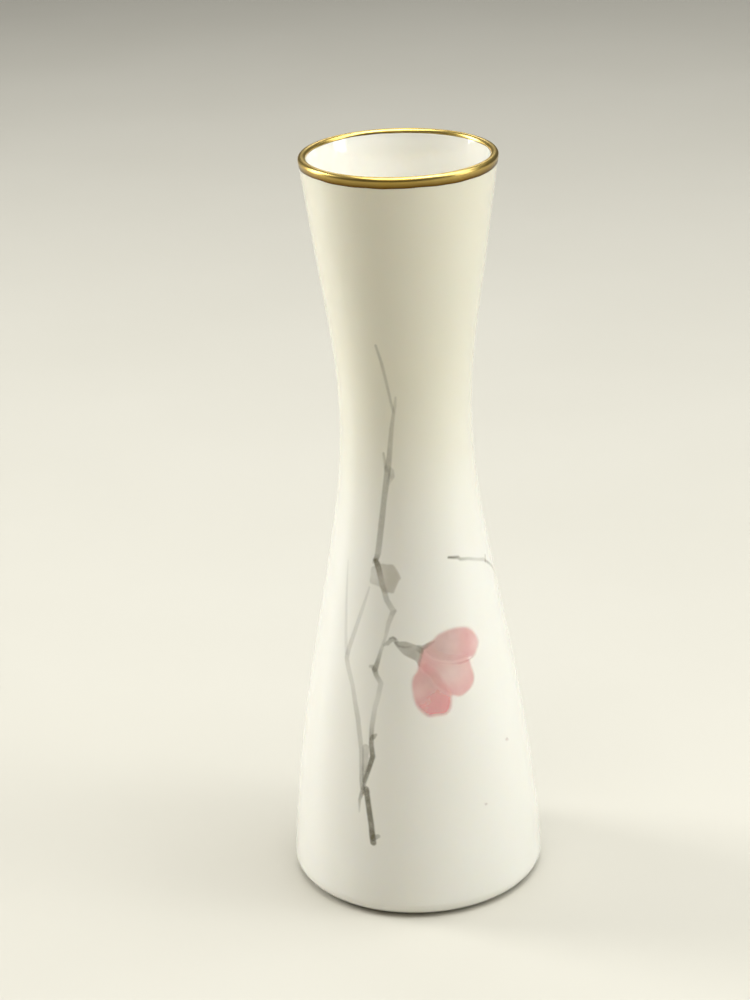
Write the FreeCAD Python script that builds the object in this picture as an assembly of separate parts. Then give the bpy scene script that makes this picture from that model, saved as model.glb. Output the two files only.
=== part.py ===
import FreeCAD, Part
import math
import os
from FreeCAD import Vector

# A tall, waisted bud vase in slip-cast porcelain. It stands on a ring foot, is glazed inside and out,
# has a fired gold lip, and carries a painted plum branch with one flower on its front.
# +Z is up and is the axis of the round form. The origin is on the table, at the middle of the foot.
# The front of the vase faces -Y, with +X on its right. Lengths are in millimetres, angles in degrees.

os.makedirs("parts", exist_ok=True)

# ---- Driving dimensions -------------------------------------------------------------------------

# Outside form
height = 150.0
foot_radius = 25.5          # widest part of the foot
waist_radius = 12.95        # narrowest part of the neck
waist_height = 98.0
mouth_radius = 18.8         # outside of the lip
foot_lean = 3.5             # how far the wall leans in as it leaves the foot
mouth_lean = 7.0            # how far the wall leans out as it meets the lip

# How the wall swells between the waist and the foot, and between the waist and the mouth.
# Each pair is a share of the way from the first to the second, and a share of the difference in radius.
foot_to_waist = ((0.12, 0.927), (0.32, 0.74), (0.54, 0.458), (0.73, 0.2), (0.9, 0.03))
waist_to_mouth = ((0.2, 0.07), (0.42, 0.3), (0.6, 0.53), (0.8, 0.768))

# Walls
wall = 2.3                  # fired wall, glaze included
lip = 1.5                   # thickness of the rounded lip
lip_taper = 14.0            # length over which the wall thins to the lip
floor_thickness = 3.0
heel_radius = 8.0           # round inside corner between the floor and the wall
inside_stations = 9         # places where the inside wall is set out from the outside

# Foot
foot_edge_radius = 2.9      # soft outside edge of the foot
foot_ring_width = 3.4       # flat ring that touches the table
foot_ring_edge = 0.8        # rounded inner edge of that ring
recess_depth = 1.8          # hollow under the base
recess_fillet = 0.9

# Coats
glaze = 0.25
gold = 0.10
paint = 0.08
bare_foot_height = 0.5      # glaze is wiped off the ring up to here
gold_outside = 2.0          # depth of the gold below the top, outside
gold_inside = 0.8           # and inside

# Working sizes
skin_stations = 40          # places where a coat is set out along a wall
halvings = 50               # steps of the search for a height along a wall
beyond = 10.0               # how far cutting shapes run past what they cut

# ---- Section of the vase ------------------------------------------------------------------------


def point(radius, z):
    """A point of the section, which is drawn on the back half-plane and then turned."""
    return Vector(0, radius, z)


def round_point(centre, radius, angle):
    """A point on a circle of the section; 0 degrees is outwards and 90 is up."""
    turn = math.radians(angle)
    return centre + Vector(0, radius * math.cos(turn), radius * math.sin(turn))


def heading(angle):
    """Unit direction in the section; 0 degrees is outwards and 90 is up."""
    return round_point(Vector(), 1.0, angle)


def smooth(points, start, finish):
    """A smooth curve through the points that leaves and arrives in the given directions."""
    curve = Part.BSplineCurve()
    curve.interpolate(Points=points, InitialTangent=start, FinalTangent=finish)
    return curve


def in_from(curve, place, depth):
    """The point at a depth under the curve; the material lies on the left of the way it runs."""
    along = curve.tangent(place)[0]
    return curve.value(place) + Vector(0, -along.z, along.y) * depth


def under(curve, depth):
    """The whole curve, moved into the material by a depth."""
    first, last = curve.FirstParameter, curve.LastParameter
    places = [first + (last - first) * i / skin_stations for i in range(skin_stations + 1)]
    points = [in_from(curve, place, depth) for place in places]
    return smooth(points, curve.tangent(first)[0], curve.tangent(last)[0])


def place_at(curve, z):
    """Where along an upright curve its height is z, found by halving."""
    low, high = curve.FirstParameter, curve.LastParameter
    for _ in range(halvings):
        middle = (low + high) / 2
        if curve.value(middle).z < z:
            low = middle
        else:
            high = middle
    return low


foot_centre = point(foot_radius - foot_edge_radius, foot_edge_radius)
ring_outside = foot_centre.y
ring_inside = ring_outside - foot_ring_width
lip_centre = point(mouth_radius - lip / 2, height - lip / 2)

# Outside wall, from the foot's rounded edge up to the lip
wall_foot = round_point(foot_centre, foot_edge_radius, foot_lean)
wall_top = round_point(lip_centre, lip / 2, -mouth_lean)
outside_points = [wall_foot]
for way, share in foot_to_waist:
    outside_points.append(point(waist_radius + (wall_foot.y - waist_radius) * share,
                                wall_foot.z + (waist_height - wall_foot.z) * way))
outside_points.append(point(waist_radius, waist_height))
for way, share in waist_to_mouth:
    outside_points.append(point(waist_radius + (wall_top.y - waist_radius) * share,
                                waist_height + (wall_top.z - waist_height) * way))
outside_points.append(wall_top)
outside = smooth(outside_points, heading(90 + foot_lean), heading(90 - mouth_lean))

# Inside wall, from the lip down to the rounded heel
floor_height = recess_depth + floor_thickness
heel_height = floor_height + heel_radius
heel_wall = in_from(outside, place_at(outside, heel_height), wall)
heel_centre = point(heel_wall.y - heel_radius, heel_height)
full_wall_height = height - lip_taper
inside_points = [round_point(lip_centre, lip / 2, 180 - mouth_lean)]
for i in range(inside_stations):
    way = (i + 0.5) / inside_stations
    z = full_wall_height + (heel_height - full_wall_height) * way
    inside_points.append(in_from(outside, place_at(outside, z), wall))
inside_points.append(round_point(heel_centre, heel_radius, foot_lean))
inside = smooth(inside_points, heading(-90 - mouth_lean), heading(-90 + foot_lean))


def ring_arc(centre, radius, start, finish):
    """An arc of the section between two angles."""
    middle = (start + finish) / 2
    return Part.Arc(*(round_point(centre, radius, angle) for angle in (start, middle, finish)))


def section(depth):
    """The half-section of the vase with a coat of the given depth taken off all round."""
    recess_centre = point(ring_inside - recess_fillet, recess_depth - recess_fillet)
    edge_centre = point(ring_inside + foot_ring_edge, foot_ring_edge)
    arcs = {
        "recess": ring_arc(recess_centre, recess_fillet + depth, 90, 0),
        "ring": ring_arc(edge_centre, foot_ring_edge - depth, 180, 270),
        "foot": ring_arc(foot_centre, foot_edge_radius - depth, -90, foot_lean),
        "lip": ring_arc(lip_centre, lip / 2 - depth, -mouth_lean, 180 - mouth_lean),
        "heel": ring_arc(heel_centre, heel_radius + depth, foot_lean, -90),
    }
    under_middle = point(0, recess_depth + depth)
    floor_middle = point(0, floor_height - depth)
    runs = [
        Part.LineSegment(under_middle, arcs["recess"].StartPoint),
        arcs["recess"],
        Part.LineSegment(arcs["recess"].EndPoint, arcs["ring"].StartPoint),
        arcs["ring"],
        Part.LineSegment(arcs["ring"].EndPoint, arcs["foot"].StartPoint),
        arcs["foot"],
        under(outside, depth),
        arcs["lip"],
        under(inside, depth),
        arcs["heel"],
        Part.LineSegment(arcs["heel"].EndPoint, floor_middle),
        Part.LineSegment(floor_middle, under_middle),
    ]
    return Part.Face(Part.Wire([run.toShape() for run in runs]))


def turned(depth):
    """The solid vase under a coat of the given depth."""
    return section(depth).revolve(Vector(), Vector(0, 0, 1), 360)


whole = turned(0)
under_glaze = turned(glaze)
under_gold = turned(gold)

# ---- Porcelain and glaze ------------------------------------------------------------------------

# The flat ring of the foot is wiped clean of glaze, so the porcelain itself touches the table there.
bare_ring = Part.makeCylinder(ring_outside, bare_foot_height)
bare_ring = bare_ring.cut(Part.makeCylinder(ring_inside + foot_ring_edge, bare_foot_height))
all_glaze = whole.cut(under_glaze).cut(bare_ring)
porcelain_body = whole.cut(all_glaze)

coats = sorted(all_glaze.Solids, key=lambda solid: solid.BoundBox.ZMax)
underside_glaze, outer_coat = coats[0], coats[-1]

# ---- Gold lip -----------------------------------------------------------------------------------

gold_zone = Part.makeCylinder(mouth_radius + beyond, gold_outside + beyond,
                              Vector(0, 0, height - gold_outside))
gold_zone = gold_zone.cut(Part.makeCylinder(lip_centre.y, gold_outside - gold_inside,
                                            Vector(0, 0, height - gold_outside)))
gold_rim_band = whole.cut(under_gold).common(gold_zone)

# ---- Painted decoration -------------------------------------------------------------------------

# Each painted shape lies flush in the surface of the glaze. Its points are (angle, height) on the
# wall: the angle runs round from the front, positive to the right, and the height is from the table.
# A brush stroke's points have the width of the brush as a third value.
# Heights are set for a vase of this drawn height, and move in proportion when the vase grows.
drawn_height = 150.0

# Each colour is drawn on a flat sheet that faces one way, at the angle in the middle of its shape,
# and is carried straight out from there through the wall.
facing = {
    "painted_main_branch": -20,
    "painted_side_branch": -35,
    "painted_right_twig": 60,
    "painted_flower_stalk": -5,
    "painted_upper_petal": 27,
    "painted_middle_petal": 22,
    "painted_lower_petal": 11,
    "painted_leaf": -18,
    "painted_flecks": 45,
}

main_branch = [
    ((-21.5, 116.3, 0.25), (-16.5, 111.0, 0.35), (-11.2, 105.6, 0.4), (-9.8, 103.0, 0.5),
     (-12.0, 99.0, 0.65), (-14.2, 95.0, 0.75), (-16.4, 91.4, 1.0), (-17.8, 88.6, 0.85),
     (-19.9, 85.0, 0.85), (-22.1, 80.0, 0.9), (-24.0, 74.6, 0.9), (-25.6, 72.8, 0.7),
     (-22.8, 71.6, 0.75), (-18.6, 68.0, 0.65), (-15.8, 65.6, 0.6), (-11.6, 63.2, 0.7),
     (-14.4, 61.0, 0.7), (-18.2, 57.4, 0.6), (-20.0, 54.8, 0.55), (-22.6, 51.4, 0.75),
     (-21.6, 50.2, 0.6), (-20.4, 48.8, 0.6), (-21.5, 45.4, 0.7), (-23.0, 41.8, 0.65),
     (-23.4, 38.2, 0.6), (-23.4, 36.2, 0.7), (-22.6, 34.4, 0.8), (-24.6, 31.2, 0.75),
     (-26.6, 28.0, 0.5)),
    ((-7.6, 106.0, 0.2), (-8.6, 104.4, 0.35), (-9.9, 102.6, 0.4)),
    ((-20.0, 94.9, 0.25), (-18.6, 93.2, 0.45), (-17.0, 91.2, 0.6)),
    ((-17.4, 92.4, 0.4), (-13.6, 91.2, 0.9), (-16.6, 89.0, 0.5)),
    ((-13.2, 62.8, 0.5), (-9.9, 63.7, 0.2)),
    ((-26.0, 52.4, 0.25), (-23.6, 51.3, 0.5), (-22.4, 51.4, 0.6)),
    ((-23.2, 37.2, 0.5), (-20.2, 38.0, 0.25)),
    ((-26.2, 27.3, 0.85), (-25.1, 23.6, 0.95), (-23.6, 20.0, 0.95), (-21.9, 16.6, 1.0),
     (-20.6, 15.9, 0.8)),
    ((-21.6, 17.2, 0.9), (-18.9, 17.9, 0.5)),
]
side_branch = [
    ((-29.6, 68.2, 0.25), (-33.4, 64.6, 0.35), (-37.0, 61.2, 0.45), (-41.6, 56.2, 0.5),
     (-42.6, 52.6, 0.6), (-40.4, 50.0, 0.6), (-37.4, 47.0, 0.6), (-34.0, 42.6, 0.65),
     (-31.4, 39.0, 0.7), (-29.6, 35.4, 0.8), (-29.0, 31.0, 1.0), (-28.4, 27.0, 0.8),
     (-28.5, 24.6, 0.5), (-28.7, 22.2, 0.25)),
    ((-51.0, 71.0, 0.2), (-49.4, 63.6, 0.3), (-45.4, 53.6, 0.4), (-42.6, 51.6, 0.5)),
    ((-26.8, 35.4, 1.4), (-26.9, 32.0, 1.0), (-27.9, 28.4, 0.5)),
]
right_twig = [
    ((28.8, 73.0, 0.4), (33.6, 72.7, 0.5), (39.0, 72.2, 0.45), (50.0, 71.1, 0.3),
     (65.0, 69.4, 0.3), (73.0, 67.0, 0.35), (84.0, 63.6, 0.35), (94.0, 61.2, 0.2)),
    ((66.0, 69.2, 0.3), (64.2, 70.4, 0.15)),
]
flower_stalk = [
    ((-17.0, 56.6, 0.4), (-14.4, 57.3, 0.8), (-11.6, 57.8, 1.1), (-9.4, 57.0, 0.9)),
    ((-10.6, 57.3, 0.7), (-6.0, 56.2, 1.7), (-1.0, 55.2, 2.3), (3.0, 54.6, 2.1), (4.8, 54.8, 1.0)),
    ((-0.6, 54.6, 1.4), (3.6, 52.4, 0.3)),
    ((2.6, 54.9, 0.9), (7.4, 56.4, 0.6), (10.8, 57.0, 0.3)),
]
leaf = ((-29.0, 70.8), (-24.6, 72.2), (-17.0, 72.9), (-11.2, 72.2), (-7.2, 70.0),
        (-10.6, 67.8), (-14.6, 66.4), (-21.0, 66.6), (-27.0, 68.0))
upper_petal = ((10.6, 56.4), (17.6, 58.6), (26.0, 59.5), (34.0, 58.9), (41.4, 57.0),
               (43.8, 54.9), (38.0, 52.6), (30.0, 51.9), (20.0, 52.3), (12.2, 53.4))
middle_petal = ((9.8, 55.8), (16.0, 56.2), (27.0, 54.2), (34.6, 52.2), (37.2, 48.9),
                (33.2, 46.6), (25.8, 45.4), (18.4, 46.4), (11.6, 49.4), (6.0, 52.8))
lower_petal = ((1.4, 50.2), (6.4, 52.6), (13.0, 51.6), (18.6, 48.2), (21.4, 45.0),
               (19.4, 42.2), (12.8, 41.3), (5.4, 43.2), (0.4, 46.4))
flecks = [
    ((53.6, 33.1, 0.3), (54.8, 33.0, 0.7), (56.0, 32.7, 0.3)),
    ((34.3, 22.3, 0.2), (35.1, 22.1, 0.5), (35.9, 22.0, 0.2)),
]


def scaled(z):
    """A drawn height, moved in proportion to the height of the vase."""
    return z * height / drawn_height


def on_sheet(angle, z, way):
    """A point of the wall as it is seen square on from an angle, on a flat sheet through the axis."""
    radius = outside.value(place_at(outside, scaled(z))).y
    return Vector(radius * math.sin(math.radians(angle - way)), 0, scaled(z))


def stroke_face(stroke, way):
    """The flat outline of a brush stroke that swells and thins from point to point."""
    middles = [on_sheet(angle, z, way) for angle, z, _ in stroke]
    left, right = [], []
    for i, middle in enumerate(middles):
        before, after = middles[max(i - 1, 0)], middles[min(i + 1, len(middles) - 1)]
        along = (after - before).normalize()
        aside = Vector(-along.z, 0, along.x) * (stroke[i][2] / 2)
        left.append(middle + aside)
        right.append(middle - aside)
    outline = left + right[::-1]
    return Part.Face(Part.makePolygon(outline + outline[:1]))


def patch_face(outline, way):
    """The flat outline of a rounded patch of colour."""
    points = [on_sheet(angle, z, way) for angle, z in outline]
    curve = Part.BSplineCurve()
    curve.interpolate(Points=points, PeriodicFlag=True)
    return Part.Face(Part.Wire(curve.toShape()))


def block(face, way):
    """A flat outline carried straight out through the wall, on the side it faces."""
    solid = face.extrude(Vector(0, -foot_radius - beyond, 0))
    solid.rotate(Vector(), Vector(0, 0, 1), way)
    return solid


def brushed(name, strokes):
    """The block of several strokes laid down as one."""
    blocks = [block(stroke_face(stroke, facing[name]), facing[name]) for stroke in strokes]
    return blocks[0].fuse(blocks[1:]).removeSplitter()


def filled(name, outline):
    """The block of one rounded patch of colour."""
    return block(patch_face(outline, facing[name]), facing[name])


blocks = {
    "painted_main_branch": brushed("painted_main_branch", main_branch),
    "painted_side_branch": brushed("painted_side_branch", side_branch),
    "painted_right_twig": brushed("painted_right_twig", right_twig),
    "painted_flower_stalk": brushed("painted_flower_stalk", flower_stalk),
    "painted_upper_petal": filled("painted_upper_petal", upper_petal),
    "painted_middle_petal": filled("painted_middle_petal", middle_petal),
    "painted_lower_petal": filled("painted_lower_petal", lower_petal),
    "painted_leaf": filled("painted_leaf", leaf),
    "painted_flecks": brushed("painted_flecks", flecks),
}

# The paint is a skin on the outside wall. Where two colours cross, the later one stops at the earlier.
skin_front = under(outside, 0)
skin_back = under(outside, paint)
skin_runs = [
    skin_front,
    Part.LineSegment(skin_front.EndPoint, skin_back.EndPoint),
    skin_back,
    Part.LineSegment(skin_back.StartPoint, skin_front.StartPoint),
]
skin_face = Part.Face(Part.Wire([run.toShape() for run in skin_runs]))
paint_skin = skin_face.revolve(Vector(), Vector(0, 0, 1), 360)
paints = {}
for name, solid in blocks.items():
    paint_piece = paint_skin.common(solid)
    if paints:
        paint_piece = paint_piece.cut(list(paints.values()))
    paints[name] = paint_piece

glaze_coat = outer_coat.cut([gold_rim_band, *paints.values()])

# ---- Files --------------------------------------------------------------------------------------

nodes = {
    "porcelain_body": porcelain_body,
    "glaze_coat": glaze_coat,
    "underside_glaze": underside_glaze,
    "gold_rim_band": gold_rim_band,
    **paints,
}
for name, shape in nodes.items():
    solids = Part.makeCompound(shape.Solids)
    volumes = [round(solid.Volume, 2) for solid in shape.Solids]
    print(name, "volumes", volumes, "valid", solids.isValid())
    solids.exportStep("parts/" + name + ".step")
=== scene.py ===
# %% [markdown]
# # A porcelain bud vase
#
# The vase is one hollow casting of white porcelain under a clear glaze, with gold fired over the lip
# and a plum branch painted in soft colours under the gloss. The CAD model holds its sizes. This lesson
# builds the surfaces that the eye sees, in the same place and at the same size, and gives each its finish.

import math

import bpy
import numpy as np
from mathutils import Matrix, Vector


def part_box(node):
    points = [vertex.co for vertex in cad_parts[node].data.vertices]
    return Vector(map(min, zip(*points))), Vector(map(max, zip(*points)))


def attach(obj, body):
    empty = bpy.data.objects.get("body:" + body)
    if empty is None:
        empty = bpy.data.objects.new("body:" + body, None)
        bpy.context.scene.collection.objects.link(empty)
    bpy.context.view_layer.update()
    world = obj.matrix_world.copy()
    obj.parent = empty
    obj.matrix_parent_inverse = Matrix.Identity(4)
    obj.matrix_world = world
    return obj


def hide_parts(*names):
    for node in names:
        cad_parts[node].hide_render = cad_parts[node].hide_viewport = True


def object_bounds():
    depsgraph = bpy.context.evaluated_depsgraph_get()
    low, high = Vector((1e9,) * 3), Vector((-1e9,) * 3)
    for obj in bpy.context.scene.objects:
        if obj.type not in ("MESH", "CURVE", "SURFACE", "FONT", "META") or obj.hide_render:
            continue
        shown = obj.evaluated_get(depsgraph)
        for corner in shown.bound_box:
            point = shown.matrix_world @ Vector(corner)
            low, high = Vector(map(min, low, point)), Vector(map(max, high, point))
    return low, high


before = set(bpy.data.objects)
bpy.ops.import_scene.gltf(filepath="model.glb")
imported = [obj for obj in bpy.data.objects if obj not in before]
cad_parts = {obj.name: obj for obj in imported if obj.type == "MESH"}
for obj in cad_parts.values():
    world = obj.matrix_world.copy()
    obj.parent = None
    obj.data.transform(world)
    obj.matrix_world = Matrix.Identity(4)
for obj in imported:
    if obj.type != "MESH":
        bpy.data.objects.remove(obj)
cad_low, cad_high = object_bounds()
print("CAD box, mm:", [round(side * 1000, 2) for side in cad_high - cad_low])

# %% [markdown]
# ## Colours
#
# A colour is easiest to choose as the hex value that a paint chart or an image editor shows. Those
# values are sRGB, and Blender's shaders work in linear light, so one function turns one into the other.

# %% Hex colour to linear light


def linear(hex_colour):
    """The linear RGBA of an sRGB hex colour such as #F3F1E6."""
    channels = [int(hex_colour[i:i + 2], 16) / 255 for i in (1, 3, 5)]
    return tuple(c / 12.92 if c <= 0.04045 else ((c + 0.055) / 1.055) ** 2.4 for c in channels) + (1.0,)


print("warm white, linear:", [round(c, 3) for c in linear("#F3F1E6")])

# %% [markdown]
# ## A helper for materials
#
# Every material below is a small graph of nodes. One function adds a node of any kind, sets its
# options and fills its sockets. A socket given another node's output is linked, and one given a plain
# number or colour is set, so a graph reads from top to bottom like a recipe.

# %% Start a material and add nodes to it


def new_material(name):
    """An empty node material with its output, as (material, node tree, output node)."""
    material = bpy.data.materials.new(name)
    material.use_nodes = True
    tree = material.node_tree
    tree.nodes.clear()
    return material, tree, tree.nodes.new("ShaderNodeOutputMaterial")


def add(tree, kind, sockets=None, **options):
    """Adds a node: options are its own settings, and sockets are values or outputs for its inputs."""
    node = tree.nodes.new(kind)
    for option, value in options.items():
        setattr(node, option, value)
    for socket, value in (sockets or {}).items():
        if isinstance(value, bpy.types.NodeSocket):
            tree.links.new(value, node.inputs[socket])
        else:
            node.inputs[socket].default_value = value
    return node


print("nodes are added by", add.__name__)

# %% [markdown]
# ## The line of the wall
#
# The whole form is turned about one axis, so its shape is one line. The overall sizes are read from the
# CAD boxes: the foot is the widest part, the gold band gives the mouth, and the heights come from the
# same boxes. Between the foot, the waist and the mouth the wall swells by the same shares as the CAD wall.

# %% Sizes of the vase
MM = 0.001
height = cad_high.z
foot_radius = cad_high.x
mouth_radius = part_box("gold_rim_band")[1].x
gold_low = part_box("gold_rim_band")[0].z
GLAZE = 0.25 * MM
recess_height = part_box("underside_glaze")[1].z - GLAZE
# One millimetre of height on the 150 mm vase, whatever the height of this one.
RISE = height / 150
waist_height = 98 * RISE
waist_radius = 12.95 * MM
foot_edge = 2.9 * MM
foot_lean = math.radians(3.5)
mouth_lean = math.radians(7)
lip = 1.5 * MM
wall = 2.3 * MM
lip_taper = 14 * MM
floor_height = 4.8 * MM
heel_radius = 8 * MM
ring_outside = foot_radius - foot_edge
ring_inside = ring_outside - 3.4 * MM
ring_edge = 0.8 * MM
recess_fillet = 0.9 * MM
FOOT_TO_WAIST = ((0.12, 0.927), (0.32, 0.74), (0.54, 0.458), (0.73, 0.2), (0.9, 0.03))
WAIST_TO_MOUTH = ((0.2, 0.07), (0.42, 0.3), (0.6, 0.53), (0.8, 0.768))
print(f"height {height / MM:.1f}, foot {foot_radius / MM:.2f}, mouth {mouth_radius / MM:.2f} mm")

# %% [markdown]
# A smooth line through a few stations is a cubic spline. Solving for its slopes takes one small
# set of equations, and the result has no flat spots or corners, which matters under a mirror gloss:
# the eye reads a kink in a reflection long before it sees one in an edge.

# %% A smooth line through stations


def spline(places, values, first_slope, last_slope):
    """A function that gives the smooth cubic line through the stations, with set slopes at its ends."""
    x, y = np.array(places), np.array(values)
    step, rise = np.diff(x), np.diff(y) / np.diff(x)
    n = len(x)
    matrix, target = np.eye(n), np.zeros(n)
    target[0], target[-1] = first_slope, last_slope
    for i in range(1, n - 1):
        matrix[i, i - 1:i + 2] = step[i], 2 * (step[i - 1] + step[i]), step[i - 1]
        target[i] = 3 * (step[i] * rise[i - 1] + step[i - 1] * rise[i])
    slopes = np.linalg.solve(matrix, target)

    def line(at):
        at = np.asarray(at, float)
        i = np.clip(np.searchsorted(x, at) - 1, 0, n - 2)
        t, h = (at - x[i]) / step[i], step[i]
        return ((1 + 2 * t) * (1 - t) ** 2 * y[i] + t * (1 - t) ** 2 * h * slopes[i]
                + t * t * (3 - 2 * t) * y[i + 1] + t * t * (t - 1) * h * slopes[i + 1])

    return line


foot_centre = np.array([foot_radius - foot_edge, foot_edge])
lip_centre = np.array([mouth_radius - lip / 2, height - lip / 2])
wall_foot = foot_centre + foot_edge * np.array([math.cos(foot_lean), math.sin(foot_lean)])
wall_top = lip_centre + lip / 2 * np.array([math.cos(mouth_lean), -math.sin(mouth_lean)])
stations = [wall_foot]
for way, share in FOOT_TO_WAIST:
    stations.append((waist_radius + (wall_foot[0] - waist_radius) * share,
                     wall_foot[1] + (waist_height - wall_foot[1]) * way))
stations.append((waist_radius, waist_height))
for way, share in WAIST_TO_MOUTH:
    stations.append((waist_radius + (wall_top[0] - waist_radius) * share,
                     waist_height + (wall_top[1] - waist_height) * way))
stations.append(wall_top)
wall_radius = spline([z for _, z in stations], [r for r, _ in stations],
                     -math.tan(foot_lean), math.tan(mouth_lean))
print("radius at 60 mm:", round(float(wall_radius(60 * MM)) / MM, 2), "mm")

# %% [markdown]
# ## A turned surface
#
# On the wheel or in a mould, every ring of the vase is a circle. The same idea makes the mesh: one
# outline in the half-plane, turned in even steps. An outline that starts and ends on the axis gives a
# closed skin, which light that enters the porcelain needs, and close rings keep the curve exact.

# %% Turn an outline into a mesh
TURNS = 192
ON_AXIS = 1e-9


def arc(centre, radius, start, finish, steps):
    """Points of an arc in the half-plane, from one angle to another in degrees."""
    angles = np.radians(np.linspace(start, finish, steps + 1))
    return [centre + radius * np.array([math.cos(a), math.sin(a)]) for a in angles]


def piece(name, mesh, material, *nodes, slot):
    """Puts a mesh into the scene as a piece of the vase that stands for CAD nodes."""
    body = bpy.data.objects.new(name, mesh)
    bpy.context.scene.collection.objects.link(body)
    mesh.materials.append(material)
    mesh.shade_smooth()
    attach(body, "root")
    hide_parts(*nodes)
    print(f"{name}: {len(mesh.polygons)} faces")
    return body


def turn(name, outline):
    """A mesh from an outline of (radius, height) turned about the axis."""
    outline = [tuple(p) for p in outline]
    angles = [2 * math.pi * k / TURNS for k in range(TURNS)]
    points, rings = [], []
    for radius, z in outline:
        if radius < ON_AXIS:
            rings.append([len(points)] * TURNS)
            points.append((0.0, 0.0, z))
        else:
            rings.append([len(points) + k for k in range(TURNS)])
            points += [(radius * math.cos(a), radius * math.sin(a), z) for a in angles]
    faces = []
    for low, high in zip(rings, rings[1:]):
        for k in range(TURNS):
            corners = [low[k], low[(k + 1) % TURNS], high[(k + 1) % TURNS], high[k]]
            faces.append(list(dict.fromkeys(corners)))
    mesh = bpy.data.meshes.new(name)
    mesh.from_pydata(points, [], faces)
    mesh.update()
    return mesh


print("each ring has", TURNS, "points")

# %% [markdown]
# The section is drawn once, for any depth under the finished surface. At no depth it is the skin of
# the glaze, and a quarter of a millimetre down it is the fired porcelain that the glaze covers.

# %% The section of the vase at a depth
TINY = 0.001 * MM
EDGE_STEPS = 8
FOOT_STEPS = 16
LIP_STEPS = 16
HEEL_STEPS = 10
HEEL_START = 3.5
OUTSIDE_RINGS = 150
INSIDE_RINGS = 90


def slope(z):
    """How far the outside wall leans at a height, as radius gained for each unit of height."""
    return (wall_radius(z + TINY) - wall_radius(z - TINY)) / (2 * TINY)


def outside_wall(depth, rings):
    """The outside wall from the foot to the lip, moved into the wall by the depth."""
    points = []
    for z in np.linspace(wall_foot[1], wall_top[1], rings):
        lean = math.atan(slope(np.clip(z, wall_foot[1] + 2 * TINY, wall_top[1] - 2 * TINY)))
        points.append(np.array([wall_radius(z) - depth * math.cos(lean), z + depth * math.sin(lean)]))
    return points


heel_height = floor_height + heel_radius
heel_lean = math.atan(slope(heel_height))
heel_centre = np.array([wall_radius(heel_height) - wall * math.cos(heel_lean) - heel_radius, heel_height])


def inside_wall(depth, rings):
    """The inside wall from the lip down to the heel; the wall thins over the last stretch to the lip."""
    points = []
    for z in np.linspace(wall_top[1], heel_height, rings):
        thin = np.clip((z - (height - lip_taper)) / lip_taper, 0, 1) ** 2
        thick = wall + (lip - wall) * thin
        lean = math.atan(slope(np.clip(z, wall_foot[1], wall_top[1] - 2 * TINY)))
        points.append(np.array([wall_radius(z) - (thick - depth) / math.cos(lean), z]))
    return points


def section(depth):
    """The closed outline of the vase, from the middle of the recess round to the middle of the floor."""
    recess_centre = np.array([ring_inside - recess_fillet, recess_height - recess_fillet])
    edge_centre = np.array([ring_inside + ring_edge, ring_edge])
    outline = [np.array([0, recess_height + depth])]
    outline += arc(recess_centre, recess_fillet + depth, 90, 0, EDGE_STEPS)
    outline += arc(edge_centre, ring_edge - depth, 180, 270, EDGE_STEPS)
    outline += arc(foot_centre, foot_edge - depth, -90, math.degrees(foot_lean), FOOT_STEPS)
    outline += outside_wall(depth, OUTSIDE_RINGS)[1:-1]
    outline += arc(lip_centre, lip / 2 - depth, -math.degrees(mouth_lean),
                   180 - math.degrees(mouth_lean), LIP_STEPS)
    outline += inside_wall(depth, INSIDE_RINGS)[1:-1]
    outline += arc(heel_centre, heel_radius + depth, HEEL_START, -90, HEEL_STEPS)
    outline.append(np.array([0, floor_height - depth]))
    return outline


# Where the recess ends and the foot begins, counted along the section.
recess_end = 1 + (EDGE_STEPS + 1)
foot_start = recess_end + (EDGE_STEPS + 1)
print("points round the section:", len(section(0)))

# %% [markdown]
# ## The camera
#
# The vase is seen from a little above the mouth, through a long lens a few vase heights away. A long
# lens keeps the wall's lines honest: close up, the foot would shrink away under the belly.

# %% Camera
eye_distance = 3.161 * height
eye_height = 1.82 * height
eye = Vector((0, -eye_distance, eye_height))
tip_down = math.radians(22.15)
turn_left = math.radians(0.79)
roll = math.radians(-2.0)
look = Vector((-math.sin(turn_left) * math.cos(tip_down), math.cos(turn_left) * math.cos(tip_down),
               -math.sin(tip_down)))
level = Vector((math.cos(turn_left), math.sin(turn_left), 0))
upright = level.cross(look)
right = level * math.cos(roll) + upright * math.sin(roll)
up = upright * math.cos(roll) - level * math.sin(roll)
camera_data = bpy.data.cameras.new("long_lens")
camera_data.sensor_width = 36
camera_data.lens = 93.6
camera = bpy.data.objects.new("camera", camera_data)
camera.matrix_world = Matrix((
    (right.x, up.x, -look.x, eye.x), (right.y, up.y, -look.y, eye.y),
    (right.z, up.z, -look.z, eye.z), (0, 0, 0, 1)))
bpy.context.scene.collection.objects.link(camera)
bpy.context.scene.camera = camera
print("camera is", round(eye.length, 3), "m from the foot")

# %% [markdown]
# ## Floor and light
#
# Gloss shows what is around it, so a glazed pot is lit with large soft panels, not points: each panel
# becomes a clean band down the wall. One stands at each side, and wide ones hang above and high on the
# right. A weak, warm one fills the front, so that the middle of the wall stays quiet and the painting
# reads, and a strip behind lights the far side of the lip.

# %% Floor, world and soft panels


def panel(name, place, target, width, tall, power, tint):
    """A soft rectangular light that faces a target."""
    data = bpy.data.lights.new(name, "AREA")
    data.shape = "RECTANGLE"
    data.size, data.size_y = width, tall
    data.energy = power
    data.color = linear(tint)[:3]
    light = bpy.data.objects.new(name, data)
    light.location = place
    light.rotation_euler = (Vector(target) - Vector(place)).to_track_quat("-Z", "Y").to_euler()
    bpy.context.scene.collection.objects.link(light)
    print(f"{name}: {width} x {tall} m, {power} W")


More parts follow.
